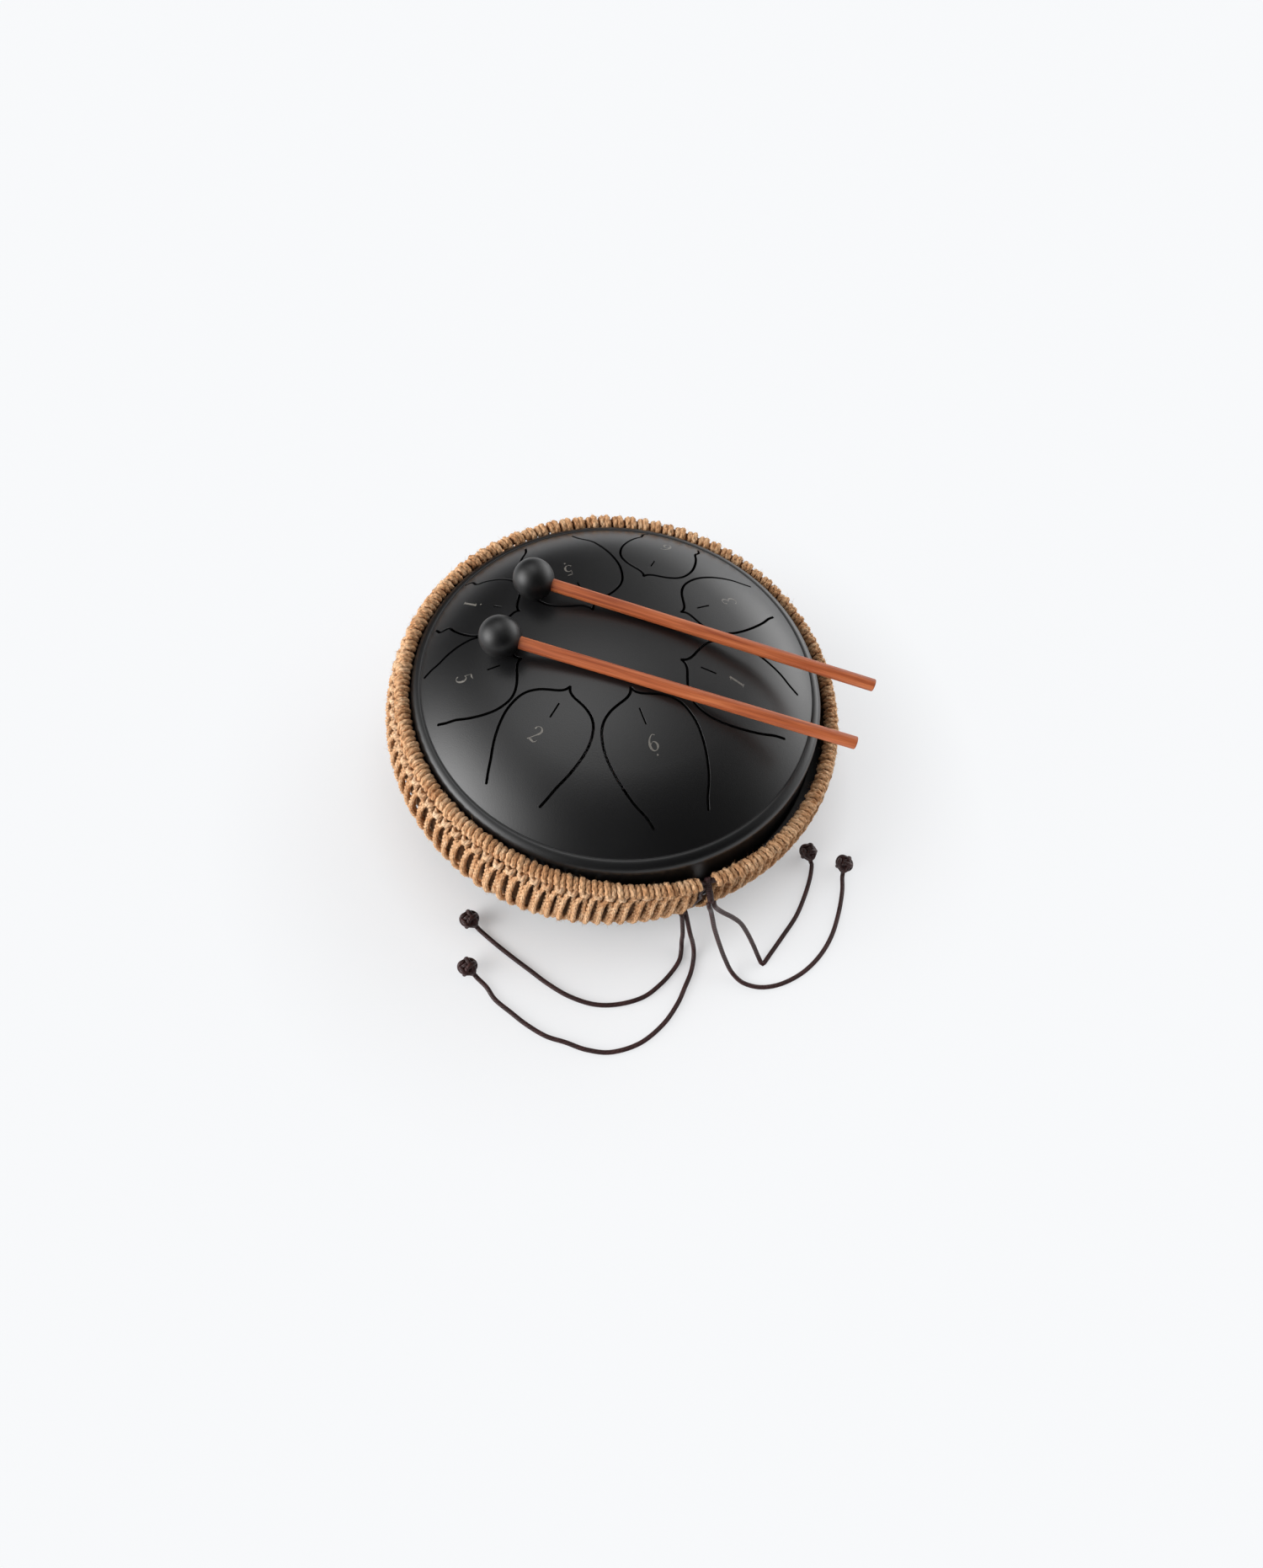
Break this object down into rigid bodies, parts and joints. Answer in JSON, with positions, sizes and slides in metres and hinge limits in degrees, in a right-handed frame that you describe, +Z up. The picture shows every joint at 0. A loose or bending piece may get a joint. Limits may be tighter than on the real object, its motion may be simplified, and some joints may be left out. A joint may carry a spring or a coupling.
{
  "type": "tongue drum",
  "caption": "Round steel tongue drum with petal shaped tongues, in a crocheted cover laced with knotted cords, with a pair of mallets lying across the dome.",
  "frame": {"origin": "on the drum's axis, on the floor that its rubber foot ring stands on", "axes": "+Z up along the drum's axis; +X right and +Y away, as the picture is seen"},
  "size_m": [0.3234, 0.3484, 0.1563],
  "materials": {
    "steel": "satin graphite",
    "rubber": "matte black",
    "yarn": "crocheted cotton yarn, golden brown",
    "cord": "twisted satin cord, dark brown",
    "wood": "stained reddish brown, oiled"
  },
  "bodies": {
    "drum": {"top_shell": "steel", "bottom_shell": "steel", "foot_ring": "rubber", "cover_rim_roll": "yarn", "cover_wall": "yarn", "cover_hem_roll": "yarn", "rim_drawstring": "cord", "hem_drawstring": "cord", "slit_lacing": "cord", "rim_knot_core": "cord", "rim_knot_wrap": "cord", "hem_knot_core": "cord", "hem_knot_wrap": "cord", "hem_cord_left": "cord", "hem_cord_right": "cord", "rim_cord_right": "cord", "rim_cord_left": "cord", "hem_left_bead": "cord", "hem_right_bead": "cord", "rim_right_bead": "cord", "rim_left_bead": "cord"},
    "back_mallet": {"back_mallet_stick": "wood", "back_mallet_head": "rubber"},
    "front_mallet": {"front_mallet_stick": "wood", "front_mallet_head": "rubber"}
  },
  "joints": [
    {"name": "back_mallet_lift", "type": "slide", "parent": "drum", "child": "back_mallet", "axis": [0, 0, 1], "range_m": [0, 0.15]},
    {"name": "front_mallet_lift", "type": "slide", "parent": "drum", "child": "front_mallet", "axis": [0, 0, 1], "range_m": [0, 0.15]}
  ]
}
